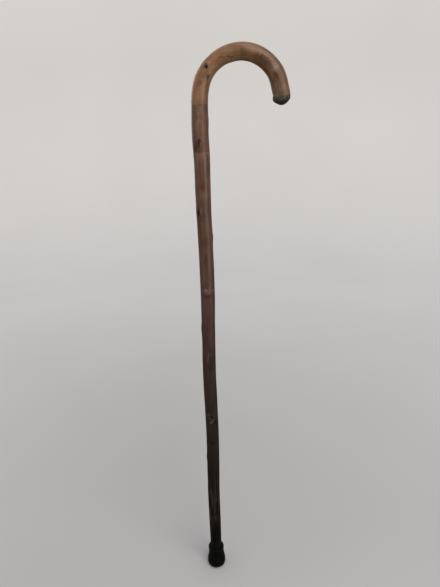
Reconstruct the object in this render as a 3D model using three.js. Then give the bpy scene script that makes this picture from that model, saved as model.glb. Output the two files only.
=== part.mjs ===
// A wooden walking stick with a crook handle and a push-on rubber ferrule.
//
// Millimetres, +Z up along the shaft. The origin is the centre of the ferrule's flat base. +X points from the
// shaft towards the nose of the crook, and the crook lies in the plane of X and Z.
import * as THREE from 'three';
import { mergeVertices } from 'three/addons/utils/BufferGeometryUtils.js';

// ---- Driving dimensions -------------------------------------------------------------------------------------

const TOUCHING_GAP = 0.3; // left between two pieces that touch

// The crook: an arc around one centre, then a short straight nose.
const CROOK_CENTRE_X = 59.6;
const CROOK_CENTRE_Z = 845.4;
const CROOK_RADIUS = 58.1; // of the centreline
const CROOK_ARC_START = 172; // degrees around the crook's centre, from +X up over the top
const CROOK_ARC_END = 4;
const CROOK_ARC_STEPS = 6;

// The nose: sawn slightly aslant and bevelled to a small flat.
const NOSE_LENGTH = 10.5; // straight wood between the arc and the rim of the bevel
const NOSE_FLARE = 2; // degrees that the straight nose leans outwards
const BEVEL_SLANT = 12; // degrees that the bevelled end leans outwards
const BEVEL_LENGTH = 7;
const BEVEL_FLAT_RADIUS = 3.2;

// The ferrule.
const FERRULE_HEIGHT = 40;
const FERRULE_FLOOR = 11; // thickness of rubber under the stick
const BASE_RADIUS = 16.9;
const BASE_WIDEST_HEIGHT = 10; // where the flare is widest
const BASE_EDGE_RADIUS = 6; // rounding between the tread and the side
const SLEEVE_RADIUS = 14.3;
const SLEEVE_BOTTOM = 28; // where the straight sleeve starts to flare
const BEAD_RADIUS = 14.7; // the thicker ring round the mouth
const BEAD_HEIGHT = 4;
const BEAD_STEP = 1; // height over which the sleeve widens to the bead, and the bead's top chamfer
const MOUTH_CHAMFER = 0.8;
const TREAD_DEPTH = 1.4; // of the circular grooves under the base
const TREAD_GROOVES = [[5, 6.3], [8.2, 9.5]]; // inner and outer radius of each groove

// The steel disc inside the ferrule.
const WASHER_THICKNESS = 1.5;
const WASHER_HOLE_RADIUS = 3;

// The wood inside the ferrule's socket.
const FOOT_RADIUS = 10.5;
const FOOT_CHAMFER = 1;
const FOOT_Z = FERRULE_FLOOR + WASHER_THICKNESS + 2 * TOUCHING_GAP;
const SOCKET_RADIUS = FOOT_RADIUS + TOUCHING_GAP;

// The shaft's centreline between the socket and the crook: a natural pole, a little out of true.
const SHAFT_BENDS = [
  [0, 0, 60],
  [-0.4, 0.6, 160],
  [1.2, 0.9, 285],
  [0.2, -0.8, 420],
  [2.3, -0.6, 570],
  [0.7, 0.8, 695],
  [1.1, 0.5, 762],
  [0, 0, 805],
];

// Radius of the wood at a distance along its centreline from the foot.
const THICKNESS = [
  [0, FOOT_RADIUS],
  [34, FOOT_RADIUS],
  [95, 10.9],
  [420, 11.1],
  [640, 11.7],
  [780, 12.4],
  [835, 12.4],
  [885, 11.2],
  [920, 11.6],
  [960, 12.1],
  [1060, 12.2],
];

// Knots left where twigs were pruned: distance from the foot, degrees round from the front towards the inside
// of the crook, how far the wood swells, and how far the swelling reaches along the stick.
const KNOTS = [
  { along: 95, around: 150, swell: 0.5, reach: 9 },
  { along: 160, around: 240, swell: 0.7, reach: 10 },
  { along: 230, around: -56, swell: 0.9, reach: 9 },
  { along: 262, around: 100, swell: 0.7, reach: 9 },
  { along: 310, around: 12, swell: 0.9, reach: 10 },
  { along: 365, around: 190, swell: 0.8, reach: 10 },
  { along: 431, around: 8, swell: 0.5, reach: 10 },
  { along: 478, around: 260, swell: 0.7, reach: 10 },
  { along: 542, around: 3, swell: 0.9, reach: 10 },
  { along: 588, around: 160, swell: 0.8, reach: 10 },
  { along: 630, around: 80, swell: 0.6, reach: 9 },
  { along: 670, around: 10, swell: 0.8, reach: 10 },
  { along: 706, around: 215, swell: 0.7, reach: 9 },
  { along: 766, around: -4, swell: 0.8, reach: 9 },
  { along: 800, around: 120, swell: 0.6, reach: 10 },
  { along: 849, around: 180, swell: 0.6, reach: 9 },
  { along: 872, around: -12, swell: 0.8, reach: 9 },
  { along: 905, around: 30, swell: 0.5, reach: 9 },
  { along: 930, around: 200, swell: 0.6, reach: 10 },
  { along: 979, around: 11, swell: 0.5, reach: 12 },
  { along: 1000, around: 170, swell: 0.5, reach: 9 },
];

// Fineness of the solids.
const STICK_SIDES = 28;
const STICK_STEP = 7; // between rings of the stick
const FERRULE_SIDES = 64;
const CURVE_STEPS = 6; // in each curved stretch of the ferrule's outline

// ---- Shared geometry helpers --------------------------------------------------------------------------------

const radians = THREE.MathUtils.degToRad;

// A geometry with only positions, its shared vertices joined, so that it is one closed body.
function closedBody(geometry) {
  geometry.deleteAttribute('normal');
  geometry.deleteAttribute('uv');
  return mergeVertices(geometry, 1e-4);
}

// A solid of revolution round Z from a closed outline of [radius, height] points.
function turnedBody(outline, sides) {
  const points = outline.map(([radius, height]) => new THREE.Vector2(radius, height));
  const lathe = closedBody(new THREE.LatheGeometry(points, sides));
  return lathe.rotateX(Math.PI / 2);
}

function makePiece(name, geometry, color, roughness, metalness) {
  geometry.computeVertexNormals();
  const material = new THREE.MeshStandardMaterial({ color, roughness, metalness });
  const mesh = new THREE.Mesh(geometry, material);
  mesh.name = name;
  return mesh;
}

// A value between the rows of a [position, value] list, eased so that it has no corners.
function easedValue(rows, position) {
  const next = rows.findIndex(([at]) => at >= position);
  if (next <= 0) {
    return next === 0 ? rows[0][1] : rows[rows.length - 1][1];
  }
  const [lowAt, lowValue] = rows[next - 1];
  const [highAt, highValue] = rows[next];
  const share = THREE.MathUtils.smoothstep(position, lowAt, highAt);
  return THREE.MathUtils.lerp(lowValue, highValue, share);
}

// ---- The stick ----------------------------------------------------------------------------------------------

// The centreline from the foot up the shaft, over the crook and down to the tip of the nose.
function stickCentreline() {
  const points = [new THREE.Vector3(0, 0, FOOT_Z)];
  for (const [x, y, z] of SHAFT_BENDS) {
    points.push(new THREE.Vector3(x, y, z));
  }
  for (let step = 0; step <= CROOK_ARC_STEPS; step += 1) {
    const angle = radians(THREE.MathUtils.lerp(CROOK_ARC_START, CROOK_ARC_END, step / CROOK_ARC_STEPS));
    const x = CROOK_CENTRE_X + CROOK_RADIUS * Math.cos(angle);
    const z = CROOK_CENTRE_Z + CROOK_RADIUS * Math.sin(angle);
    points.push(new THREE.Vector3(x, 0, z));
  }
  for (const [length, lean] of [[NOSE_LENGTH, NOSE_FLARE], [BEVEL_LENGTH, BEVEL_SLANT]]) {
    const last = points[points.length - 1];
    const along = new THREE.Vector3(Math.sin(radians(lean)), 0, -Math.cos(radians(lean)));
    points.push(along.multiplyScalar(length).add(last));
  }
  const curve = new THREE.CatmullRomCurve3(points, false, 'catmullrom', 0.5);
  curve.arcLengthDivisions = 2000;
  return curve;
}

// Distances along the centreline at which the stick has a ring of vertices.
function ringDistances(total) {
  const rim = total - BEVEL_LENGTH;
  const steps = Math.round((rim - FOOT_CHAMFER) / STICK_STEP);
  const distances = [0];
  for (let step = 0; step <= steps; step += 1) {
    distances.push(THREE.MathUtils.lerp(FOOT_CHAMFER, rim, step / steps));
  }
  distances.push(total);
  return distances;
}

// How far the knots push the surface out at a distance along the stick and an angle round it.
function knotSwell(distance, angle) {
  let swell = 0;
  for (const knot of KNOTS) {
    const along = (distance - knot.along) / knot.reach;
    const turned = Math.cos(angle - radians(knot.around));
    swell += knot.swell * Math.exp(-along * along) * Math.max(turned, 0) ** 2;
  }
  return swell;
}

// Radius of the wood, with its knots, its chamfered foot and its bevelled nose.
function stickRadius(distance, angle, total) {
  if (distance === 0) {
    return FOOT_RADIUS - FOOT_CHAMFER;
  }
  if (distance === total) {
    return BEVEL_FLAT_RADIUS;
  }
  return easedValue(THICKNESS, distance) + knotSwell(distance, angle);
}

// The blank is a straight round pole, which is thinned, given its knots and bent along the centreline.
function woodenStick() {
  const curve = stickCentreline();
  const total = curve.getLength();
  const distances = ringDistances(total);
  const rings = distances.length - 1;
  const blank = closedBody(new THREE.CylinderGeometry(1, 1, rings, STICK_SIDES, rings));
  const front = new THREE.Vector3(0, -1, 0);
  const vertex = new THREE.Vector3();
  const positions = blank.attributes.position;
  for (let index = 0; index < positions.count; index += 1) {
    vertex.fromBufferAttribute(positions, index);
    const distance = distances[Math.round(vertex.y + rings / 2)];
    const centre = curve.getPointAt(distance / total);
    const tangent = curve.getTangentAt(distance / total);
    const inside = new THREE.Vector3().crossVectors(tangent, front).normalize();
    const forward = new THREE.Vector3().crossVectors(inside, tangent);
    const angle = Math.atan2(vertex.x, vertex.z);
    const radius = Math.hypot(vertex.x, vertex.z) * stickRadius(distance, angle, total);
    centre.addScaledVector(forward, radius * Math.cos(angle));
    centre.addScaledVector(inside, radius * Math.sin(angle));
    positions.setXYZ(index, centre.x, centre.y, centre.z);
  }
  return makePiece('wooden_stick', blank, 0x6b4a34, 0.42, 0);
}

// ---- The ferrule --------------------------------------------------------------------------------------------

// Points of a quarter turn round a centre, from one angle to another, in degrees.
function roundedEdge(centreRadius, centreHeight, edgeRadius, fromDegrees, toDegrees) {
  const points = [];
  for (let step = 0; step <= CURVE_STEPS; step += 1) {
    const angle = radians(THREE.MathUtils.lerp(fromDegrees, toDegrees, step / CURVE_STEPS));
    const radius = centreRadius + edgeRadius * Math.cos(angle);
    points.push([radius, centreHeight + edgeRadius * Math.sin(angle)]);
  }
  return points;
}

// The side of the flared base, from its widest ring up to the sleeve.
function flareOutline() {
  const points = [];
  for (let step = 0; step <= CURVE_STEPS; step += 1) {
    const share = step / CURVE_STEPS;
    const height = THREE.MathUtils.lerp(BASE_WIDEST_HEIGHT, SLEEVE_BOTTOM, share);
    const eased = THREE.MathUtils.smoothstep(share, 0, 1);
    points.push([THREE.MathUtils.lerp(BASE_RADIUS, SLEEVE_RADIUS, eased), height]);
  }
  return points;
}

function rubberFerrule() {
  const outline = [[0, 0]];
  for (const [inner, outer] of TREAD_GROOVES) {
    outline.push([inner, 0], [inner, TREAD_DEPTH], [outer, TREAD_DEPTH], [outer, 0]);
  }
  outline.push(...roundedEdge(BASE_RADIUS - BASE_EDGE_RADIUS, BASE_EDGE_RADIUS, BASE_EDGE_RADIUS, -90, 0));
  outline.push(
    ...flareOutline(),
    [SLEEVE_RADIUS, FERRULE_HEIGHT - BEAD_HEIGHT - BEAD_STEP],
    [BEAD_RADIUS, FERRULE_HEIGHT - BEAD_HEIGHT],
    [BEAD_RADIUS, FERRULE_HEIGHT - BEAD_STEP],
    [BEAD_RADIUS - BEAD_STEP, FERRULE_HEIGHT],
    [SOCKET_RADIUS + MOUTH_CHAMFER, FERRULE_HEIGHT],
    [SOCKET_RADIUS, FERRULE_HEIGHT - MOUTH_CHAMFER],
    [SOCKET_RADIUS, FERRULE_FLOOR],
    [0, FERRULE_FLOOR],
  );
  return makePiece('rubber_ferrule', turnedBody(outline, FERRULE_SIDES), 0x0c0c0c, 0.75, 0);
}

function ferruleWasher() {
  const bottom = FERRULE_FLOOR + TOUCHING_GAP;
  const top = bottom + WASHER_THICKNESS;
  const rim = SOCKET_RADIUS - TOUCHING_GAP;
  const outline = [
    [WASHER_HOLE_RADIUS, bottom],
    [rim, bottom],
    [rim, top],
    [WASHER_HOLE_RADIUS, top],
    [WASHER_HOLE_RADIUS, bottom],
  ];
  return makePiece('ferrule_washer', turnedBody(outline, FERRULE_SIDES), 0xa8abad, 0.35, 1);
}

// ---- The whole cane -----------------------------------------------------------------------------------------

const cane = new THREE.Group();
cane.add(woodenStick());
cane.add(rubberFerrule());
cane.add(ferruleWasher());

export default cane;
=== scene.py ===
# A wooden walking stick with a crook handle and a rubber ferrule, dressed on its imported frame. Metres, +Z
# up along the shaft. "along" is the distance along the stick from its foot, and "around" is the angle round
# it, from the front (-Y) towards the inside of the crook.

import math

import bpy
import numpy as np
from mathutils import Matrix, Vector


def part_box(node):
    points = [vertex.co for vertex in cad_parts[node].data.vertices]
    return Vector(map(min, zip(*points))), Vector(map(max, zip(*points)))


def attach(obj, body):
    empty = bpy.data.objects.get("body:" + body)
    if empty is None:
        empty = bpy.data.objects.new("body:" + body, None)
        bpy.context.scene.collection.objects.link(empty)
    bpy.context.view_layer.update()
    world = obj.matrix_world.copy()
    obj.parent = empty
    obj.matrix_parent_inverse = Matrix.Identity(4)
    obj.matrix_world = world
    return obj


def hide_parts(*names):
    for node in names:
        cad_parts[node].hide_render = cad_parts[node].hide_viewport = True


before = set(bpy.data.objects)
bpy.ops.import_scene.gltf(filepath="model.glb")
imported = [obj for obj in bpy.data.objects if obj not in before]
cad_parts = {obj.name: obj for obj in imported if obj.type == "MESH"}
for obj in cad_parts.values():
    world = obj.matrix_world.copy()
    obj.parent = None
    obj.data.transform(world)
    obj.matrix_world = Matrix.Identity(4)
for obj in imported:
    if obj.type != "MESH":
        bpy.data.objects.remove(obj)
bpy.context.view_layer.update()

MM = 0.001

# ---- The frame's sizes, as the CAD has them -----------------------------------------------------------

FOOT_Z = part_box("wooden_stick")[0][2]
SHAFT_BENDS = [
    (0, 0, 60),
    (-0.4, 0.6, 160),
    (1.2, 0.9, 285),
    (0.2, -0.8, 420),
    (2.3, -0.6, 570),
    (0.7, 0.8, 695),
    (1.1, 0.5, 762),
    (0, 0, 805),
]  # millimetres
CROOK_CENTRE = Vector((59.6, 0, 845.4)) * MM
CROOK_RADIUS = 58.1 * MM
CROOK_ARC_START = 172  # degrees round the crook's centre, from +X up over the top
CROOK_ARC_END = 4
CROOK_ARC_STEPS = 6
NOSE_LENGTH = 10.5 * MM
NOSE_LEAN = 2  # degrees outward from straight down
NOSE_RADIUS = 12.1 * MM
BEVEL_LENGTH = 7 * MM
BEVEL_LEAN = 12
BEVEL_FLAT_RADIUS = 3.2 * MM
THICKNESS = [
    (0, 10.5),
    (34, 10.5),
    (95, 10.9),
    (420, 11.1),
    (640, 11.7),
    (780, 12.4),
    (835, 12.4),
    (885, 11.2),
    (920, 11.6),
    (960, 12.1),
    (1060, 12.2),
]  # millimetres along the stick, and the wood's radius there

# The ferrule and its washer, in millimetres. Both are round and stand on the axis, so the highest corner of a
# box gives its radius.
FERRULE_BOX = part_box("rubber_ferrule")
FERRULE_FOOT_RADIUS = FERRULE_BOX[1][0] / MM
FERRULE_HEIGHT = FERRULE_BOX[1][2] / MM
FERRULE_SLEEVE_RADIUS = 14.3
SOCKET_RADIUS = 10.8
SOCKET_FLOOR = 11
WASHER_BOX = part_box("ferrule_washer")
WASHER_RADIUS = WASHER_BOX[1][0] / MM
WASHER_BOTTOM = WASHER_BOX[0][2] / MM
WASHER_TOP = WASHER_BOX[1][2] / MM
WASHER_HOLE_RADIUS = 3

# ---- Where the wood has its marks, in millimetres and degrees -----------------------------------------

# Pruned knots: the place, how far the wood swells there and over what length, the half length and half
# width of the cut face, and how dark its heart is.
KNOTS = [
    # along, around, swell, reach, half length, half width, heart
    (95, 150, 0.5, 9, 3.0, 2.2, 0.8),
    (160, 240, 0.7, 10, 3.6, 2.6, 0.7),
    (230, -56, 0.9, 9, 3.4, 2.4, 0.9),
    (263, 2, 0.3, 9, 3.0, 2.6, 0.3),
    (313, 4, 0.9, 10, 4.6, 3.4, 0.15),
    (365, 190, 0.8, 10, 3.8, 2.8, 0.9),
    (431, 8, 0.5, 10, 2.4, 1.6, 0.2),
    (478, 260, 0.7, 10, 3.4, 2.5, 0.8),
    (545, 8, 0.9, 10, 4.4, 3.0, 0.05),
    (588, 160, 0.8, 10, 3.8, 2.8, 0.9),
    (630, 80, 0.6, 9, 2.8, 2.0, 0.8),
    (670, -38, 0.8, 10, 4.8, 1.6, 1.0),
    (706, 215, 0.7, 9, 3.6, 2.6, 0.8),
    (771, -7, 0.8, 9, 4.2, 1.7, 1.0),
    (800, 120, 0.6, 10, 3.2, 2.4, 0.8),
    (849, -5, 0.4, 8, 3.2, 2.0, 0.1),
    (849, 180, 0.6, 9, 3.6, 2.6, 0.8),
    (862, 32, 0.3, 8, 3.0, 1.8, 0.35),
    (872, -15, 0.8, 9, 3.4, 2.5, 1.0),
    (930, 200, 0.6, 10, 3.4, 2.6, 0.8),
    (989, 14, 0.5, 12, 4.0, 2.6, 0.0),
    (1000, 170, 0.5, 9, 3.0, 2.2, 0.7),
]

# Paler and darker spots: the place, the half length and half width, and the tone: -1 dark, 1 pale.
SPOTS = [
    # along, around, half length, half width, tone
    (263, 4, 4, 4, -0.3),
    (307, 0, 3.0, 2.0, 1.0),
    (312, 16, 2.2, 1.6, 0.8),
    (315, -12, 2.0, 1.6, 0.7),
    (320, -30, 2.0, 1.6, 0.7),
    (305, 38, 2.8, 1.8, -1.2),
    (317, 12, 3.0, 2.0, -0.9),
    (426, -6, 7, 1.0, 0.4),
    (434, 4, 7, 1.0, 0.35),
    (537, 2, 4, 9, -0.45),
    (545, 12, 5.0, 3.2, 0.7),
    (547, -4, 3.6, 1.4, 0.7),
    (556, -6, 6, 6, -0.35),
    (622, -4, 7, 9, -0.4),
    (666, 12, 2.4, 1.4, -0.7),
    (671, -14, 5, 1.0, 0.5),
    (672, -36, 9, 2.6, -0.8),
    (694, 12, 6, 7, 0.25),
    (708, 4, 5, 3, -0.4),
    (749, 42, 6, 1.3, -1.0),
    (752, 14, 4.4, 5.5, 0.15),
    (765, -28, 7, 4.5, -0.6),
    (776, -34, 6, 4, -0.35),
    (800, -6, 11, 1.2, 0.5),
    (816, 4, 8, 3.4, 0.6),
    (846, 50, 12, 3.0, -0.5),
    (862, 32, 5, 3.0, -0.4),
    (874, -22, 3.4, 2.2, 0.5),
    (898, -22, 5, 4, -0.35),
    (906, 36, 5, 2, -0.5),
    (929, 16, 6, 5, -0.35),
    (932, -34, 8, 3, 0.3),
    (944, -14, 11, 5, 0.45),
    (956, 0, 1.8, 5, -0.4),
    (958, 44, 14, 5, -0.35),
    (966, 12, 8, 6, -0.4),
    (978, -10, 6, 5, 0.8),
    (984, 58, 14, 3, -0.5),
    (990, 14, 5, 4, -0.6),
    (990, -48, 14, 3, -0.3),
    (1008, -8, 5, 5, 0.3),
]

# Joints between one year's growth and the next: the place, and how strongly the tone steps there. The wood
# is pale just below a joint and dark just above it, or the other way round where the step is negative.
JOINTS = [
    # along, step
    (106, 0.35),
    (262, 0.15),
    (404, 0.15),
    (548, 0.3),
    (664, 0.15),
    (758, 0.6),
    (823, -0.6),
    (924, 0.2),
]
JOINT_FADE = 9

# Dark healed splits, each a run of places (along, around), and the wood's radius there.
SCARS = [
    [(893, 4), (899, 22), (907, 34), (914, 40)],
    [(948, 10), (956, 4), (962, 2)],
]
SCAR_RADIUS = 12
FAR_FROM_MARK = 9.0  # the distance that a point far from every knot or split is given

# ---- Relief of the wood -------------------------------------------------------------------------------

FACE_DEPTH = 0.28 * MM  # of a knot's cut face
LIP_HEIGHT = 0.22 * MM  # of the raised ring round a cut face
HEART_DEPTH = 0.7 * MM
BROW_HEIGHT = 0.16 * MM  # of the fold of bark above a knot
SPLIT_DEPTH = 0.2 * MM
SPLIT_WIDTH = 0.7  # millimetres
JOINT_HEIGHT = 0.10 * MM
OVALNESS = 0.16 * MM
OVAL_TWIST = 9  # radians in each metre
RELIEF_STARTS = (0.030, 0.045)  # metres along: the wood is plain inside the ferrule

# Unevenness: its depth and wavelength in millimetres, its seed, and its squeeze, which draws it out along
# the grain where it is under 1.
RIPPLES = [
    # depth, wavelength, squeeze, seed
    (0.16, 55, 1, 3),
    (0.10, 12, 0.16, 5),
    (0.045, 4.5, 0.16, 7),
]

# Wrinkles on the inside of the bend: the metres along between which they start and stop.
WRINKLE_DEPTH = 0.07 * MM
WRINKLES_START = (0.84, 0.87)
WRINKLES_STOP = (0.98, 1.0)

# How far the outlines of knots, splits and spots stray, so that none is a plain oval or line.
STRAY_ALONG = 0.7 * MM
STRAY_AROUND = 0.06  # radians
STRAY_WAVELENGTH = 7 * MM

# ---- Fineness of the meshes ---------------------------------------------------------------------------

STICK_SIDES = 84
RING_STEP = 1.25 * MM
BEVEL_RINGS = 11
TURNED_SIDES = 128
WASHER_SIDES = 96

# ---- Geometry helpers ---------------------------------------------------------------------------------


def smoothstep(low, high, value):
    share = np.clip((value - low) / (high - low), 0, 1)
    return share * share * (3 - 2 * share)


def bump(distance, width):
    return np.exp(-((distance / width) ** 2))


def eased(rows, position):
    """The value at each position between the rows of (position, value) pairs, with no corners."""
    places = np.array([row[0] for row in rows], float)
    values = np.array([row[1] for row in rows], float)
    index = np.clip(np.searchsorted(places, position) - 1, 0, len(rows) - 2)
    share = smoothstep(places[index], places[index + 1], position)
    return values[index] + (values[index + 1] - values[index]) * share


def ripples(points, wavelength, seed, waves=28):
    """Smooth random relief, mostly between -1 and 1: a sum of sine waves that run in seeded directions."""
    rng = np.random.default_rng(seed)
    directions = rng.normal(size=(waves, 3))
    directions /= np.linalg.norm(directions, axis=1)[:, None]
    directions *= (2 * math.pi / wavelength * rng.uniform(0.55, 1.45, waves))[:, None]
    phases = rng.uniform(0, 2 * math.pi, waves)
    return np.sin(points @ directions.T + phases).sum(axis=-1) / math.sqrt(waves)


def new_object(name, vertices, faces):
    mesh = bpy.data.meshes.new(name)
    mesh.from_pydata(vertices, [], faces)
    mesh.validate()
    mesh.shade_smooth()
    piece = bpy.data.objects.new(name, mesh)
    bpy.context.scene.collection.objects.link(piece)
    return piece


def store(piece, name, values):
    """Keeps one number, or one vector, for each vertex, for the material to read."""
    values = np.asarray(values, np.float32)
    if values.ndim == 2:
        layer = piece.data.attributes.new(name, "FLOAT_VECTOR", "POINT")
        layer.data.foreach_set("vector", values.ravel())
    else:
        layer = piece.data.attributes.new(name, "FLOAT", "POINT")
        layer.data.foreach_set("value", values)


def band_faces(low, high, sides):
    """Quads between two rings of vertices, each ring given by its first vertex."""
    faces = []
    for side in range(sides):
        after = (side + 1) % sides
        faces.append((low + side, low + after, high + after, high + side))
    return faces


def ring_faces(rings, sides):
    """Bands between neighbouring rings of vertices, then a fan to a pole at each end. The two poles are the
    vertices after the last ring."""
    faces = []
    for ring in range(rings - 1):
        faces += band_faces(ring * sides, (ring + 1) * sides, sides)
    first_pole = rings * sides
    last_pole = first_pole + 1
    last = (rings - 1) * sides
    for side in range(sides):
        after = (side + 1) % sides
        faces.append((first_pole, after, side))
        faces.append((last_pole, last + side, last + after))
    return faces


# ---- The stick ----------------------------------------------------------------------------------------


def stick_guide_points():
    points = [Vector((0, 0, FOOT_Z))]
    points += [Vector(bend) * MM for bend in SHAFT_BENDS]
    for step in range(CROOK_ARC_STEPS + 1):
        share = step / CROOK_ARC_STEPS
        angle = math.radians(CROOK_ARC_START + (CROOK_ARC_END - CROOK_ARC_START) * share)
        points.append(CROOK_CENTRE + CROOK_RADIUS * Vector((math.cos(angle), 0, math.sin(angle))))
    for length, lean in ((NOSE_LENGTH, NOSE_LEAN), (BEVEL_LENGTH, BEVEL_LEAN)):
        away = Vector((math.sin(math.radians(lean)), 0, -math.cos(math.radians(lean))))
        points.append(points[-1] + length * away)
    return np.array(points)


class Centreline:
    """A smooth (Catmull-Rom) curve through the guide points, read by distance along it."""

    SAMPLES = 9000
    REACH = 0.5 * MM  # on either side of a place, to find the curve's direction there

    def __init__(self, points):
        padded = np.vstack([2 * points[0] - points[1], points, 2 * points[-1] - points[-2]])
        where = np.linspace(0, len(points) - 1, self.SAMPLES)
        index = np.minimum(where.astype(int), len(points) - 2)
        t = (where - index)[:, None]
        before, start, end, after = (padded[index + step] for step in range(4))
        line = 2 * start + (end - before) * t
        bend = (2 * before - 5 * start + 4 * end - after) * t**2
        twist = (3 * start - 3 * end + after - before) * t**3
        self.places = (line + bend + twist) / 2
        steps = np.linalg.norm(np.diff(self.places, axis=0), axis=1)
        self.distances = np.concatenate([[0], np.cumsum(steps)])
        self.length = self.distances[-1]

    def at(self, along):
        columns = [np.interp(along, self.distances, self.places[:, axis]) for axis in range(3)]
        return np.stack(columns, axis=-1)

    def direction(self, along):
        ahead = self.at(np.minimum(along + self.REACH, self.length))
        behind = self.at(np.maximum(along - self.REACH, 0))
        heading = ahead - behind
        return heading / np.linalg.norm(heading, axis=-1)[:, None]


def stick_rings(length):
    """The rings of the stick from foot to tip: how far along each lies, and its size as a share of the full
    thickness."""
    rim = length - BEVEL_LENGTH
    flat = BEVEL_FLAT_RADIUS / NOSE_RADIUS
    foot = [(0, 0.3), (0, 0.6), (0, 0.86), (0.0002, 0.91), (0.0006, 0.96), (0.0012, 0.99)]
    shaft = [(place, 1.0) for place in np.linspace(0.002, rim - 0.0015, round(rim / RING_STEP))]
    bevel = [(rim - 0.0008, 0.995), (rim - 0.0002, 0.98), (rim + 0.0004, 0.95)]
    for share in np.linspace(0.12, 0.95, BEVEL_RINGS):
        bevel.append((rim + BEVEL_LENGTH * share, flat + (0.98 - flat) * (1 - share**1.5)))
    tip = [(length - 0.0001, flat * 0.93), (length, flat * 0.8), (length, flat * 0.45)]
    return np.array(foot + shaft + bevel + tip, float)


def turned_from(around, degrees):
    """The angle from a place round the stick, the short way."""
    return np.angle(np.exp(1j * (around - math.radians(degrees))))


def knot_marks(along, around, radius):
    """Relief of the knots in metres, and for each point its distance from the nearest knot, where 1 is the
    edge of the cut face, with the darkness of that knot's heart."""
    relief = np.zeros_like(along)
    nearest = np.full_like(along, FAR_FROM_MARK)
    heart = np.zeros_like(along)
    for place, angle, swell, reach, half_length, half_width, dark in KNOTS:
        lengthwise = along - place * MM
        turned = turned_from(around, angle)
        across = radius * turned
        relief += swell * MM * bump(lengthwise, reach * MM) * np.maximum(np.cos(turned), 0) ** 2
        away = np.hypot(lengthwise / (half_length * MM), across / (half_width * MM))
        relief -= FACE_DEPTH * (1 - smoothstep(0.75, 1.1, away))
        relief += LIP_HEIGHT * bump(away - 1.35, 0.3)
        relief -= HEART_DEPTH * dark * bump(away, 0.55)
        from_brow = lengthwise - (half_length * 1.9 * MM - 0.8 * np.abs(across))
        relief += BROW_HEIGHT * bump(from_brow, 0.9 * MM) * bump(across, 6 * MM)
        closer = away < nearest
        nearest = np.where(closer, away, nearest)
        heart = np.where(closer, dark, heart)
    return relief, nearest, heart


def spot_tone(along, around, radius):
    tone = np.zeros_like(along)
    for place, angle, half_length, half_width, strength in SPOTS:
        lengthwise = (along - place * MM) / (half_length * MM)
        across = radius * turned_from(around, angle) / (half_width * MM)
        tone += strength * np.exp(-((lengthwise**2 + across**2) ** 1.5))
    return tone


def joint_tone(along, around):
    tone = np.zeros_like(along)
    for place, strength in JOINTS:
        above = along / MM - place - 0.8 * np.sin(around + place) - 0.4 * np.sin(3 * around + place)
        side = np.where(above > 0, -1, 1)
        tone += strength * side * np.exp(-np.abs(above) / JOINT_FADE)
    return tone


def scar_distance(along, around, radius):
    """Distance in millimetres to the nearest healed split."""
    nearest = np.full_like(along, FAR_FROM_MARK)
    for run in SCARS:
        for (start_along, start_around), (end_along, end_around) in zip(run, run[1:]):
            x = along / MM - start_along
            y = turned_from(around, start_around) * radius / MM
            run_x = end_along - start_along
            run_y = math.radians(end_around - start_around) * SCAR_RADIUS
            share = np.clip((x * run_x + y * run_y) / (run_x**2 + run_y**2), 0, 1)
            nearest = np.minimum(nearest, np.hypot(x - share * run_x, y - share * run_y))
    return nearest


UV_COLUMNS = 4
UV_SIDE_MARGIN = 0.012  # as a share of a column's width
UV_END_MARGIN = 0.015  # as a share of the map's height
UV_POLE_REACH = 0.002


def lay_out_in_columns(piece, surface_run, sides):
    """A UV map for baking: the long thin skin is cut into lengths that lie side by side. surface_run is the
    distance of each ring along the skin."""
    mesh = piece.data
    rings = len(surface_run)
    cuts = np.linspace(0, surface_run[-1], UV_COLUMNS + 1)
    layer = mesh.uv_layers.new(name="OFBake")
    corners = np.zeros((len(mesh.loops), 2), np.float32)
    for polygon in mesh.polygons:
        points = list(polygon.vertices)
        ring = [min(point // sides, rings - 1) for point in points]
        side = [point % sides for point in points]
        pole = [point >= rings * sides for point in points]
        on_rings = [s for s, at_pole in zip(side, pole) if not at_pole]
        if max(on_rings) - min(on_rings) > 1:
            side = [s or sides for s in side]
            on_rings = [s or sides for s in on_rings]
        if any(pole):
            side = [sum(on_rings) / len(on_rings) if at_pole else s for s, at_pole in zip(side, pole)]
            ring = [0 if points[0] == rings * sides else rings - 1] * len(points)
        middle = sum(surface_run[r] for r in ring) / len(ring)
        column = int(np.clip(np.searchsorted(cuts, middle) - 1, 0, UV_COLUMNS - 1))
        for loop, r, s, at_pole in zip(polygon.loop_indices, ring, side, pole):
            v = (surface_run[r] - cuts[column]) / (cuts[column + 1] - cuts[column])
            if at_pole:
                v += -UV_POLE_REACH if ring[0] == 0 else UV_POLE_REACH
            u = (column + UV_SIDE_MARGIN + (1 - 2 * UV_SIDE_MARGIN) * s / sides) / UV_COLUMNS
            corners[loop] = (u, UV_END_MARGIN + (1 - 2 * UV_END_MARGIN) * v)
    layer.data.foreach_set("uv", corners.ravel())
    layer.active = True


def natural_relief(straight, along, around, joints, splits):
    """How far the wood's own unevenness stands out from its thickness, in metres."""
    relief = np.zeros_like(along)
    for depth, wavelength, squeeze, seed in RIPPLES:
        relief += depth * MM * ripples(straight * np.array([1, 1, squeeze]), wavelength * MM, seed)
    relief += OVALNESS * np.cos(2 * around + OVAL_TWIST * along)
    relief += JOINT_HEIGHT * joints
    relief -= SPLIT_DEPTH * bump(splits, SPLIT_WIDTH)
    in_bend = smoothstep(*WRINKLES_START, along) * (1 - smoothstep(*WRINKLES_STOP, along))
    on_inside = np.maximum(np.sin(around), 0) ** 2
    wrinkles = ripples(straight * np.array([0.25, 0.25, 1]), 5 * MM, seed=9)
    return relief + WRINKLE_DEPTH * in_bend * on_inside * wrinkles


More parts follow.
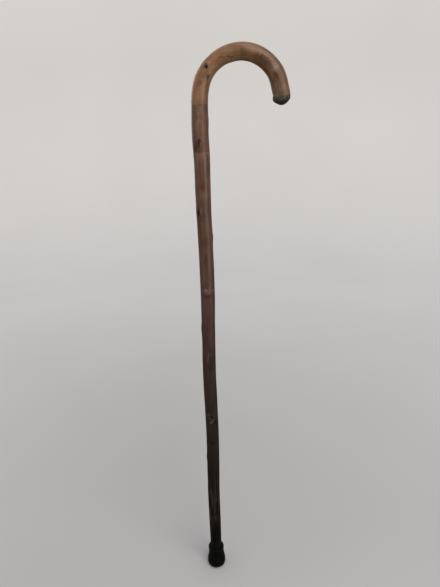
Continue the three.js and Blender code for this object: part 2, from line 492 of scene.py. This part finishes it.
def bend_to_centreline(centreline, places, radius, around):
    """The skin's points and the middles of its rings, with each ring square to the centreline."""
    # The bevel is cut straight, so its rings lie on one line and face one way.
    rim = centreline.length - BEVEL_LENGTH
    rim_centre, tip_centre = centreline.at(np.array([rim, centreline.length]))
    share = np.clip((places - rim) / BEVEL_LENGTH, 0, 1)[:, None]
    centres = np.where(share > 0, rim_centre + share * (tip_centre - rim_centre), centreline.at(places))
    headings = centreline.direction(np.minimum(places, rim))
    front = np.array([0.0, -1.0, 0.0])
    inside = np.cross(headings, front)
    inside /= np.linalg.norm(inside, axis=1)[:, None]
    forward = np.cross(inside, headings)
    frontward = np.cos(around)[..., None] * forward[:, None, :]
    inward = np.sin(around)[..., None] * inside[:, None, :]
    return centres[:, None, :] + radius[..., None] * (frontward + inward), centres


def make_stick(centreline):
    rows = stick_rings(centreline.length)
    places = rows[:, 0]
    rings = len(rows)
    angles = np.arange(STICK_SIDES) / STICK_SIDES * 2 * math.pi
    along = np.repeat(places[:, None], STICK_SIDES, axis=1)
    around = np.repeat(angles[None, :], rings, axis=0)
    full = eased(THICKNESS, along / MM) * MM
    straight = np.stack([full * np.cos(around), full * np.sin(around), along], axis=-1)

    strayed_along = along + STRAY_ALONG * ripples(straight, STRAY_WAVELENGTH, seed=21)
    strayed_around = around + STRAY_AROUND * ripples(straight, STRAY_WAVELENGTH, seed=22)
    knots, near_knot, heart = knot_marks(strayed_along, strayed_around, full)
    splits = scar_distance(strayed_along, strayed_around, full)
    joints = joint_tone(along, around)
    natural = natural_relief(straight, along, around, joints, splits)
    tooled = 0.12 * MM * np.cos(7 * around + 1.3) + 0.08 * MM * ripples(straight, 6 * MM, seed=11)
    on_show = smoothstep(*RELIEF_STARTS, along)
    rim = centreline.length - BEVEL_LENGTH
    on_bevel = smoothstep(rim - 0.6 * MM, rim + 0.8 * MM, along)
    radius = full + on_show * (1 - on_bevel) * (natural + knots) + on_bevel * tooled
    radius = radius * rows[:, 1][:, None]

    skin, centres = bend_to_centreline(centreline, places, radius, around)
    vertices = np.vstack([skin.reshape(-1, 3), centres[0], centres[-1]]).tolist()
    piece = new_object("stick_wood", vertices, ring_faces(rings, STICK_SIDES))

    grain = np.stack([radius * np.cos(around), radius * np.sin(around), along], axis=-1).reshape(-1, 3)
    store(piece, "grain", np.vstack([grain, (0, 0, places[0]), (0, 0, places[-1])]))
    for name, values, at_poles in (
        ("knot_near", near_knot, FAR_FROM_MARK),
        ("knot_heart", heart, 0),
        ("scar", splits, FAR_FROM_MARK),
        ("spot", spot_tone(strayed_along, strayed_around, full), 0),
        ("joint", joints, 0),
    ):
        store(piece, name, np.concatenate([values.ravel(), [at_poles, at_poles]]))

    steps = np.hypot(np.diff(places), np.diff(radius.mean(axis=1)))
    lay_out_in_columns(piece, np.concatenate([[0], np.cumsum(steps)]), STICK_SIDES)
    return piece


# ---- The ferrule and its washer -----------------------------------------------------------------------


def arc(centre_radius, centre_height, edge, start, end, steps=8):
    """Outline points of a rounded edge, from one angle to another in degrees."""
    angles = np.radians(np.linspace(start, end, steps + 1))
    return [(centre_radius + edge * math.cos(a), centre_height + edge * math.sin(a)) for a in angles]


def turned(name, outline, sides=TURNED_SIDES):
    """A solid of revolution round Z from an outline of (radius, height) in millimetres. The outline either
    starts and ends on the axis or closes on itself."""
    on_axis = outline[0][0] == 0
    rows = outline[1:-1] if on_axis else outline
    vertices = []
    for radius, height in rows:
        for side in range(sides):
            angle = side / sides * 2 * math.pi
            vertices.append((radius * MM * math.cos(angle), radius * MM * math.sin(angle), height * MM))
    if on_axis:
        vertices += [(0, 0, outline[0][1] * MM), (0, 0, outline[-1][1] * MM)]
        return new_object(name, vertices, ring_faces(len(rows), sides))
    faces = []
    for row in range(len(rows)):
        faces += band_faces(row * sides, (row + 1) % len(rows) * sides, sides)
    return new_object(name, vertices, faces)


def make_ferrule():
    """From the middle of the tread, over its two rings, the wide foot and the collar, into the socket."""
    foot_edge = 6
    flare_bottom = 10
    flare_height = 18
    groove_depth = 1.4
    groove_edge = 0.3
    rim_radius = 13.8
    outline = [(0, 0), (2.5, 0)]
    for inner, outer in ((5, 6.3), (8.2, 9.5)):
        outline += arc(inner - groove_edge, groove_edge, groove_edge, -90, 0, 3)
        outline += [(inner + 0.1, groove_depth - 0.15), (inner + 0.3, groove_depth)]
        outline += [(outer - 0.3, groove_depth), (outer - 0.1, groove_depth - 0.15)]
        outline += arc(outer + groove_edge, groove_edge, groove_edge, 180, 270, 3)
    outline += arc(FERRULE_FOOT_RADIUS - foot_edge, foot_edge, foot_edge, -90, 0, 14)
    for share in np.linspace(0, 1, 15):
        narrowing = (FERRULE_SLEEVE_RADIUS - FERRULE_FOOT_RADIUS) * smoothstep(0, 1, share)
        outline.append((FERRULE_FOOT_RADIUS + narrowing, flare_bottom + flare_height * share))
    outline += [(FERRULE_SLEEVE_RADIUS, 31), (FERRULE_SLEEVE_RADIUS, 34.6), (14.38, 35.1), (14.6, 35.7)]
    outline += arc(13.9, 36.6, 0.8, -25, 0, 3) + arc(rim_radius, FERRULE_HEIGHT - 0.9, 0.9, 0, 90, 6)
    outline += [(12.4, FERRULE_HEIGHT)] + arc(SOCKET_RADIUS + 0.8, FERRULE_HEIGHT - 0.8, 0.8, 90, 180, 5)
    outline += [(SOCKET_RADIUS, height) for height in np.linspace(36, 12, 9)]
    outline += arc(SOCKET_RADIUS - 0.8, SOCKET_FLOOR + 0.8, 0.8, 0, -90, 3)
    outline += [(5, SOCKET_FLOOR), (0, SOCKET_FLOOR)]
    return turned("ferrule_rubber", outline)


def make_washer():
    """A stamped ring. The upper edge of its hole is rounded a little more than the other edges."""
    edge = 0.3
    hole_edge = 0.4
    outline = arc(WASHER_HOLE_RADIUS + edge, WASHER_BOTTOM + edge, edge, 180, 270, 3)
    outline += arc(WASHER_RADIUS - edge, WASHER_BOTTOM + edge, edge, -90, 0, 3)
    outline += arc(WASHER_RADIUS - edge, WASHER_TOP - edge, edge, 0, 90, 3)
    outline += arc(WASHER_HOLE_RADIUS + hole_edge, WASHER_TOP - hole_edge, hole_edge, 90, 180, 3)
    return turned("washer_steel", outline, WASHER_SIDES)


# ---- Shader helpers -----------------------------------------------------------------------------------


def colour(red, green, blue):
    """A colour from its 0-255 screen values, as the shader wants it."""
    linear = []
    for level in (red, green, blue):
        share = level / 255
        linear.append(share / 12.92 if share <= 0.04045 else ((share + 0.055) / 1.055) ** 2.4)
    return (*linear, 1)


class Shader:
    """Builds one material's node tree, a node at a time."""

    # A Mix node's places for its two colours, and for the mixed one.
    FIRST_COLOUR = 6
    SECOND_COLOUR = 7
    MIXED_COLOUR = 2

    def __init__(self, name):
        self.material = bpy.data.materials.new(name)
        self.material.use_nodes = True
        self.tree = self.material.node_tree
        self.surface = self.tree.nodes["Principled BSDF"]

    def feed(self, socket, value):
        if isinstance(value, bpy.types.NodeSocket):
            self.tree.links.new(value, socket)
        else:
            socket.default_value = value

    def set(self, **values):
        """Sets or links the surface's sockets, each by its name in lower case with underscores."""
        for name, value in values.items():
            socket = name.replace("_", " ").title().replace("Ior", "IOR")
            self.feed(self.surface.inputs[socket], value)

    def math(self, operation, first, second=0.0, clamp=False):
        node = self.tree.nodes.new("ShaderNodeMath")
        node.operation = operation
        node.use_clamp = clamp
        self.feed(node.inputs[0], first)
        self.feed(node.inputs[1], second)
        return node.outputs[0]

    def add(self, first, second):
        return self.math("ADD", first, second)

    def times(self, first, second):
        return self.math("MULTIPLY", first, second)

    def less(self, first, second):
        return self.math("SUBTRACT", first, second)

    def attribute(self, name, output="Fac"):
        node = self.tree.nodes.new("ShaderNodeAttribute")
        node.attribute_name = name
        return node.outputs[output]

    def place(self):
        return self.tree.nodes.new("ShaderNodeTexCoord").outputs["Object"]

    def stretch(self, vector, scale):
        node = self.tree.nodes.new("ShaderNodeVectorMath")
        node.operation = "MULTIPLY"
        self.feed(node.inputs[0], vector)
        node.inputs[1].default_value = scale
        return node.outputs[0]

    def length(self, vector):
        node = self.tree.nodes.new("ShaderNodeVectorMath")
        node.operation = "LENGTH"
        self.feed(node.inputs[0], vector)
        return node.outputs["Value"]

    def parts(self, vector):
        node = self.tree.nodes.new("ShaderNodeSeparateXYZ")
        self.feed(node.inputs[0], vector)
        return node.outputs

    def noise(self, vector, scale=1.0, detail=4.0, roughness=0.55, distortion=0.0):
        node = self.tree.nodes.new("ShaderNodeTexNoise")
        self.feed(node.inputs["Vector"], vector)
        node.inputs["Scale"].default_value = scale
        node.inputs["Detail"].default_value = detail
        node.inputs["Roughness"].default_value = roughness
        node.inputs["Distortion"].default_value = distortion
        return node.outputs["Fac"]

    def spread(self, value, low, high, to_low=0.0, to_high=1.0):
        """How far value is from low to high, eased, and given as a number from to_low to to_high."""
        node = self.tree.nodes.new("ShaderNodeMapRange")
        node.interpolation_type = "SMOOTHSTEP"
        self.feed(node.inputs["Value"], value)
        limits = {"From Min": low, "From Max": high, "To Min": to_low, "To Max": to_high}
        for name, number in limits.items():
            node.inputs[name].default_value = number
        return node.outputs["Result"]

    def ramp(self, value, stops):
        node = self.tree.nodes.new("ShaderNodeValToRGB")
        node.color_ramp.interpolation = "EASE"
        elements = node.color_ramp.elements
        while len(elements) < len(stops):
            elements.new(0.5)
        for element, (position, shade) in zip(elements, stops):
            element.position = position
            element.color = shade
        self.feed(node.inputs[0], value)
        return node.outputs["Color"]

    def mix(self, share, first, second, kind="MIX"):
        node = self.tree.nodes.new("ShaderNodeMix")
        node.data_type = "RGBA"
        node.blend_type = kind
        self.feed(node.inputs[0], share)
        self.feed(node.inputs[self.FIRST_COLOUR], first)
        self.feed(node.inputs[self.SECOND_COLOUR], second)
        return node.outputs[self.MIXED_COLOUR]

    def bump(self, height, distance, strength=1.0, under=None):
        node = self.tree.nodes.new("ShaderNodeBump")
        node.inputs["Distance"].default_value = distance
        node.inputs["Strength"].default_value = strength
        self.feed(node.inputs["Height"], height)
        if under is not None:
            self.feed(node.inputs["Normal"], under)
        return node.outputs["Normal"]


# ---- Materials ----------------------------------------------------------------------------------------

# The wood's colour from the foot to the tip: millimetres along the stick, and screen colour.
WOOD_COLOURS = [
    (0, (58, 42, 28)),
    (26, (24, 17, 12)),
    (60, (4, 3, 1)),
    (105, (9, 6, 4)),
    (150, (26, 19, 15)),
    (260, (43, 34, 28)),
    (360, (60, 45, 39)),
    (410, (63, 47, 40)),
    (485, (85, 60, 54)),
    (565, (106, 77, 63)),
    (645, (105, 74, 59)),
    (700, (114, 80, 62)),
    (780, (124, 91, 69)),
    (815, (126, 93, 69)),
    (835, (154, 115, 79)),
    (860, (160, 121, 85)),
    (910, (162, 125, 88)),
    (935, (147, 109, 71)),
    (960, (131, 99, 68)),
    (990, (131, 98, 71)),
    (1028, (114, 89, 67)),
]


def stained_wood(shader, grain, along, length):
    """The wood's colour before its marks: the run from the foot to the tip, with clouds of stain in it."""
    wander = shader.noise(shader.stretch(grain, (60, 60, 22)), detail=3)
    shifted = shader.add(along, shader.times(shader.less(wander, 0.5), 0.03))
    stops = [(min(place * MM / length, 1), colour(*shade)) for place, shade in WOOD_COLOURS]
    wood = shader.ramp(shader.times(shifted, 1 / length), stops)

    # Scorching and staining: broad darker and redder clouds, drawn out along the grain.
    clouds = shader.noise(shader.stretch(grain, (70, 70, 26)), detail=5, roughness=0.6, distortion=0.4)
    wood = shader.mix(shader.spread(clouds, 0.42, 0.68, 0, 0.5), wood, colour(150, 128, 118), "MULTIPLY")
    warm = shader.noise(shader.stretch(grain, (48, 48, 14)), detail=3, distortion=0.6)
    return shader.mix(shader.spread(warm, 0.5, 0.7, 0, 0.45), wood, colour(255, 214, 200), "MULTIPLY")


def add_grain(shader, wood, grain, fibres, pores):
    """Darkens the wood along its fibres, its figure and its pores."""
    streaks = shader.ramp(fibres, [(0.3, colour(190, 180, 172)), (0.7, colour(255, 255, 255))])
    wood = shader.mix(0.8, wood, streaks, "MULTIPLY")
    figure = shader.noise(shader.stretch(grain, (240, 240, 9)), detail=4, distortion=0.8)
    wood = shader.mix(shader.spread(figure, 0.52, 0.66, 0, 0.35), wood, colour(165, 138, 120), "MULTIPLY")
    return shader.mix(shader.times(pores, 0.35), wood, colour(60, 42, 32), "MULTIPLY")


def add_scratches(shader, wood, grain, along):
    """Pale scratches in the dark stain low down, where the stick is knocked about."""
    scratches = shader.noise(shader.stretch(grain, (330, 330, 24)), detail=5, roughness=0.65)
    low_half = shader.spread(along, 0.45, 0.75, 1, 0)
    worn_low = shader.times(shader.spread(along, 0.05, 0.10), shader.spread(along, 0.15, 0.20, 1, 0.2))
    scratched = shader.times(shader.spread(scratches, 0.5, 0.64), shader.times(low_half, worn_low))
    return shader.mix(shader.times(scratched, 0.5), wood, colour(78, 69, 60))


def add_tones(shader, wood, grain, broken):
    """The steps of tone at the joints between years, and the paler and darker spots."""
    joint = shader.times(shader.attribute("joint"), shader.spread(broken, 0.3, 0.7, 0.5, 1.2))
    darker = shader.math("MULTIPLY", joint, -0.7, clamp=True)
    wood = shader.mix(darker, wood, colour(90, 66, 54), "MULTIPLY")
    paler = shader.math("MULTIPLY", joint, 0.5, clamp=True)
    wood = shader.mix(paler, wood, colour(92, 74, 62), "SCREEN")

    streaky = shader.noise(shader.stretch(grain, (500, 500, 60)), detail=4)
    in_streaks = shader.spread(streaky, 0.36, 0.6, 0.1, 0.8)
    patchy = shader.add(in_streaks, shader.spread(broken, 0.35, 0.6, 0.1, 0.6))
    spot = shader.times(shader.attribute("spot"), patchy)
    darker = shader.math("MULTIPLY", spot, -0.9, clamp=True)
    wood = shader.mix(darker, wood, colour(74, 48, 38), "MULTIPLY")
    paler = shader.math("MULTIPLY", spot, 0.9, clamp=True)
    return shader.mix(paler, wood, colour(112, 96, 82), "SCREEN")


def add_knots(shader, wood, rough_edge):
    """The knots' ringed cut faces, dark rims and dark hearts. Gives the wood and where the hearts are."""
    near = shader.add(shader.attribute("knot_near"), shader.times(rough_edge, 0.8))
    heart = shader.attribute("knot_heart")
    on_face = shader.spread(near, 0.9, 1.25, 1, 0)
    rings = shader.spread(shader.math("SINE", shader.times(near, 16)), -1, 1, 0, 0.3)
    wood = shader.mix(shader.times(on_face, rings), wood, colour(130, 96, 74), "MULTIPLY")
    rim = shader.times(shader.spread(near, 0.8, 1.02), shader.spread(near, 1.02, 1.4, 1, 0))
    rim = shader.times(rim, shader.add(shader.times(heart, 0.6), 0.2))
    wood = shader.mix(rim, wood, colour(84, 54, 40), "MULTIPLY")
    inside = shader.spread(near, 0.45, 1.0, 1, 0)
    core = shader.math("MULTIPLY", inside, shader.times(heart, 1.2), clamp=True)
    return shader.mix(core, wood, colour(10, 7, 6)), core


def add_splits(shader, wood, rough_edge):
    """The healed splits, as thin dark lines."""
    scar = shader.add(shader.attribute("scar"), shader.times(rough_edge, 0.8))
    split = shader.spread(scar, 0.35, 1.0, 1, 0)
    return shader.mix(shader.times(split, 0.6), wood, colour(52, 30, 20))


def add_nose_stain(shader, wood, speckle, place, rough_edge, length):
    """The end of the nose: end grain stained nearly black, with a dark line where the stain stops, which is
    lower on the front and on the inside. Gives the wood and where the stain is."""
    frontward, inward, along = place
    stain_start = length - BEVEL_LENGTH - 4.2 * MM
    edge_blur = 0.3 * MM
    slant = shader.add(shader.times(frontward, -0.14), shader.times(inward, -0.07))
    height = shader.add(along, shader.add(shader.times(rough_edge, 1.6 * MM), slant))
    stained = shader.spread(height, stain_start - edge_blur, stain_start + edge_blur)
    end_colour = shader.ramp(speckle, [(0.36, colour(24, 20, 17)), (0.66, colour(92, 86, 79))])
    wood = shader.mix(stained, wood, end_colour)
    near_stain = shader.spread(height, stain_start - 2.4 * MM, stain_start - 0.8 * MM)
    unstained = shader.spread(height, stain_start - edge_blur, stain_start + edge_blur, 1, 0)
    strength = shader.spread(inward, -6 * MM, 4 * MM, 0.9, 0.25)
    line = shader.times(shader.times(near_stain, unstained), strength)
    return shader.mix(line, wood, colour(50, 30, 16)), stained


def varnished_wood(length):
    shader = Shader("varnished_wood")
    grain = shader.attribute("grain", "Vector")
    place = shader.parts(grain)
    along = place[2]
    fibres = shader.noise(shader.stretch(grain, (900, 900, 16)), detail=5, roughness=0.65)
    pores = shader.spread(shader.noise(shader.stretch(grain, (1500, 1500, 130)), detail=2), 0.62, 0.72)
    broken = shader.noise(grain, scale=420, detail=3)
    speckle = shader.noise(grain, scale=420, detail=5, roughness=0.7)
    rough_edge = shader.less(broken, 0.5)

    wood = stained_wood(shader, grain, along, length)
    wood = add_grain(shader, wood, grain, fibres, pores)
    wood = add_scratches(shader, wood, grain, along)
    wood = add_tones(shader, wood, grain, broken)
    wood, core = add_knots(shader, wood, rough_edge)
    wood = add_splits(shader, wood, rough_edge)
    wood, stained = add_nose_stain(shader, wood, speckle, place, rough_edge, length)

    # Relief too fine for the mesh.
    fine = shader.bump(fibres, 0.05 * MM)
    fine = shader.bump(shader.times(pores, -1), 0.06 * MM, under=fine)
    fine = shader.bump(shader.noise(grain, scale=140, detail=3), 0.25 * MM, 0.6, under=fine)
    fine = shader.bump(shader.times(stained, speckle), 0.35 * MM, under=fine)

    # The wood is duller on the crook, on the stain and the knots' hearts, and inside the ferrule.
    gloss = shader.noise(shader.stretch(grain, (120, 120, 30)), detail=4)
    rough = shader.spread(gloss, 0.3, 0.7, 0.38, 0.5)
    rough = shader.add(rough, shader.spread(along, 0.86, 0.98, 0, 0.14))
    rough = shader.add(rough, shader.times(stained, 0.2))
    rough = shader.add(rough, shader.times(core, 0.4))
    rough = shader.add(rough, shader.spread(along, 0.020, 0.034, 0.3, 0))
    bare = shader.math("MAXIMUM", core, stained)
    varnish = shader.times(shader.spread(along, 0.1, 0.35, 0, 0.36), shader.less(1.0, bare))
    shader.set(base_color=wood, roughness=rough, normal=fine, ior=1.5, specular_ior_level=0.25)
    shader.set(coat_weight=varnish, coat_roughness=0.38)
    return shader.material


def black_rubber():
    shader = Shader("black_rubber")
    place = shader.place()
    height = shader.parts(place)[2]
    mottle = shader.noise(place, scale=90, detail=5)
    rubber = shader.ramp(mottle, [(0.3, colour(4, 4, 4)), (0.7, colour(10, 10, 9))])
    specks = shader.spread(shader.noise(place, scale=700, detail=3), 0.6, 0.72)
    low_down = shader.spread(height, 0.001, 0.012, 1, 0)
    dust = shader.noise(place, scale=160, detail=5, roughness=0.7)
    dusty = shader.times(low_down, shader.spread(dust, 0.38, 0.68, 0.1, 0.8))
    rubber = shader.mix(dusty, rubber, colour(38, 36, 33))
    rubber = shader.mix(shader.times(specks, 0.2), rubber, colour(60, 57, 53))
    fine = shader.bump(shader.noise(place, scale=1600, detail=3), 0.05 * MM)
    fine = shader.bump(mottle, 0.3 * MM, under=fine)
    rough = shader.add(shader.spread(mottle, 0.3, 0.7, 0.34, 0.48), shader.times(dusty, 0.25))
    shader.set(base_color=rubber, roughness=rough, normal=fine, ior=1.5, specular_ior_level=0.14)
    return shader.material


def washer_steel():
    shader = Shader("washer_steel")
    place = shader.place()
    wear = shader.noise(place, scale=260, detail=5, roughness=0.65)
    steel = shader.ramp(wear, [(0.35, colour(128, 130, 132)), (0.65, colour(186, 188, 190))])
    rust = shader.spread(shader.noise(place, scale=120, detail=6, roughness=0.7), 0.56, 0.68)
    steel = shader.mix(shader.times(rust, 0.7), steel, colour(96, 58, 34))
    shader.set(
        base_color=steel,
        metallic=shader.spread(rust, 0, 1, 1, 0.3),
        roughness=shader.spread(wear, 0.3, 0.7, 0.3, 0.5),
        normal=shader.bump(wear, 0.05 * MM),
    )
    return shader.material


def studio_floor_paint():
    """Pale paint that glows more with distance, so that the wall far behind is as bright as the floor."""
    shader = Shader("studio_floor")
    place = shader.place()
    soft = shader.noise(place, scale=1.2, detail=2)
    paint = shader.ramp(soft, [(0.3, colour(218, 215, 212)), (0.7, colour(224, 221, 218))])
    away = shader.length(place)
    glow = shader.add(shader.spread(away, -0.1, 2.1, 0, 0.225), shader.spread(away, 2.1, 4.8, 0, 0.24))
    shader.set(base_color=paint, roughness=0.9)
    shader.set(emission_color=colour(255, 250, 244), emission_strength=glow)
    return shader.material


# ---- The studio ---------------------------------------------------------------------------------------

CAMERA_PLACE = (0.0643, -0.7052, 0.7638)
CAMERA_AIM = (0.0220, 0, 0.5514)
CAMERA_ROLL = -1.7  # degrees
CAMERA_LENS = 27.92


def add_camera():
    data = bpy.data.cameras.new("camera")
    data.lens = CAMERA_LENS
    camera = bpy.data.objects.new("camera", data)
    bpy.context.scene.collection.objects.link(camera)
    towards = Vector(CAMERA_AIM) - Vector(CAMERA_PLACE)
    turn = towards.to_track_quat("-Z", "Y").to_matrix().to_4x4()
    roll = Matrix.Rotation(math.radians(CAMERA_ROLL), 4, "Z")
    camera.matrix_world = Matrix.Translation(CAMERA_PLACE) @ turn @ roll
    bpy.context.scene.camera = camera


def add_lamp(name, place, aim, width, height, power, tint=(1, 1, 1)):
    data = bpy.data.lights.new(name, "AREA")
    data.shape = "RECTANGLE"
    data.size = width
    data.size_y = height
    data.energy = power
    data.color = tint
    lamp = bpy.data.objects.new(name, data)
    bpy.context.scene.collection.objects.link(lamp)
    towards = Vector(aim) - Vector(place)
    lamp.matrix_world = Matrix.Translation(place) @ towards.to_track_quat("-Z", "Y").to_matrix().to_4x4()
    lamp.visible_camera = False
    return lamp


FLOOR_RADIUS = 2.2
COVE_CURVE = 1.6
COVE_TOP = 4.2
COVE_SIDES = 96


def add_cove():
    """A pale floor that curves up into a wall all round, far outside the object. It is kept out of the
    lighting, so that the floor throws no light up at the object, as a carpet throws none."""
    outline = [(0.5, 0), (1.2, 0), (FLOOR_RADIUS, 0)]
    for angle in np.linspace(0, math.pi / 2, 25)[1:]:
        outline.append((FLOOR_RADIUS + COVE_CURVE * math.sin(angle), COVE_CURVE * (1 - math.cos(angle))))
    outline.append((FLOOR_RADIUS + COVE_CURVE, COVE_TOP))
    vertices = [(0, 0, 0)]
    for radius, height in outline:
        for side in range(COVE_SIDES):
            angle = side / COVE_SIDES * 2 * math.pi
            vertices.append((radius * math.cos(angle), radius * math.sin(angle), height))
    faces = []
    for side in range(COVE_SIDES):
        after = (side + 1) % COVE_SIDES
        faces.append((0, 1 + side, 1 + after))
        for row in range(len(outline) - 1):
            low = 1 + row * COVE_SIDES
            high = low + COVE_SIDES
            faces.append((low + side, high + side, high + after, low + after))
    cove = new_object("studio_cove", vertices, faces)
    cove.data.materials.append(studio_floor_paint())
    cove.visible_diffuse = False
    cove.visible_glossy = False
    cove.visible_shadow = False
    return cove


def keep_off(lamp, stage):
    """Stops a lamp from lighting the stage, so that a low lamp leaves no pool of light on the floor."""
    lit = bpy.data.collections.new(lamp.name + "_lights")
    lit.objects.link(stage)
    lit.collection_objects[0].light_linking.link_state = "EXCLUDE"
    lamp.light_linking.receiver_collection = lit


def add_sky():
    """Light from all round: bright above and dim below."""
    world = bpy.data.worlds.new("studio_world")
    world.use_nodes = True
    tree = world.node_tree
    place = tree.nodes.new("ShaderNodeTexCoord")
    parts = tree.nodes.new("ShaderNodeSeparateXYZ")
    height = tree.nodes.new("ShaderNodeMapRange")
    height.inputs["From Min"].default_value = -1
    fade = tree.nodes.new("ShaderNodeValToRGB")
    low, high = fade.color_ramp.elements
    low.position = 0.25
    low.color = (0.09, 0.085, 0.08, 1)
    high.position = 0.7
    high.color = (0.42, 0.43, 0.45, 1)
    tree.links.new(place.outputs["Generated"], parts.inputs[0])
    tree.links.new(parts.outputs[2], height.inputs["Value"])
    tree.links.new(height.outputs["Result"], fade.inputs[0])
    tree.links.new(fade.outputs["Color"], tree.nodes["Background"].inputs["Color"])
    bpy.context.scene.world = world


def add_lamps(stage):
    """A room's light: a soft lamp overhead in front, a tall one to the right, a wide one to the left that
    only fills, and one behind."""
    aim = (0.03, 0, 0.7)
    add_lamp("overhead_lamp", (0.55, -0.65, 1.95), aim, 0.8, 0.8, 10.5, (1, 0.97, 0.93))
    side = add_lamp("side_lamp", (1.30, -1.05, 0.80), aim, 0.35, 1.2, 9, (1, 0.97, 0.94))
    fill = add_lamp("fill_lamp", (-1.5, -1.2, 0.75), aim, 1.4, 1.4, 12)
    back = add_lamp("back_lamp", (-1.0, 1.3, 1.4), aim, 1.0, 1.0, 7)
    fill.visible_glossy = False
    for lamp in (side, fill, back):
        keep_off(lamp, stage)


# ---- The whole scene ----------------------------------------------------------------------------------

add_camera()
add_sky()
add_lamps(add_cove())
bpy.context.scene.view_settings.view_transform = "Standard"

centreline = Centreline(stick_guide_points())
for piece, body, node, slot, finish in (
    (make_stick(centreline), "stick", "wooden_stick", "varnished_wood", varnished_wood(centreline.length)),
    (make_ferrule(), "ferrule", "rubber_ferrule", "black_rubber", black_rubber()),
    (make_washer(), "ferrule", "ferrule_washer", "washer_steel", washer_steel()),
):
    piece.data.materials.append(finish)
    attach(piece, body)
    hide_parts(node)
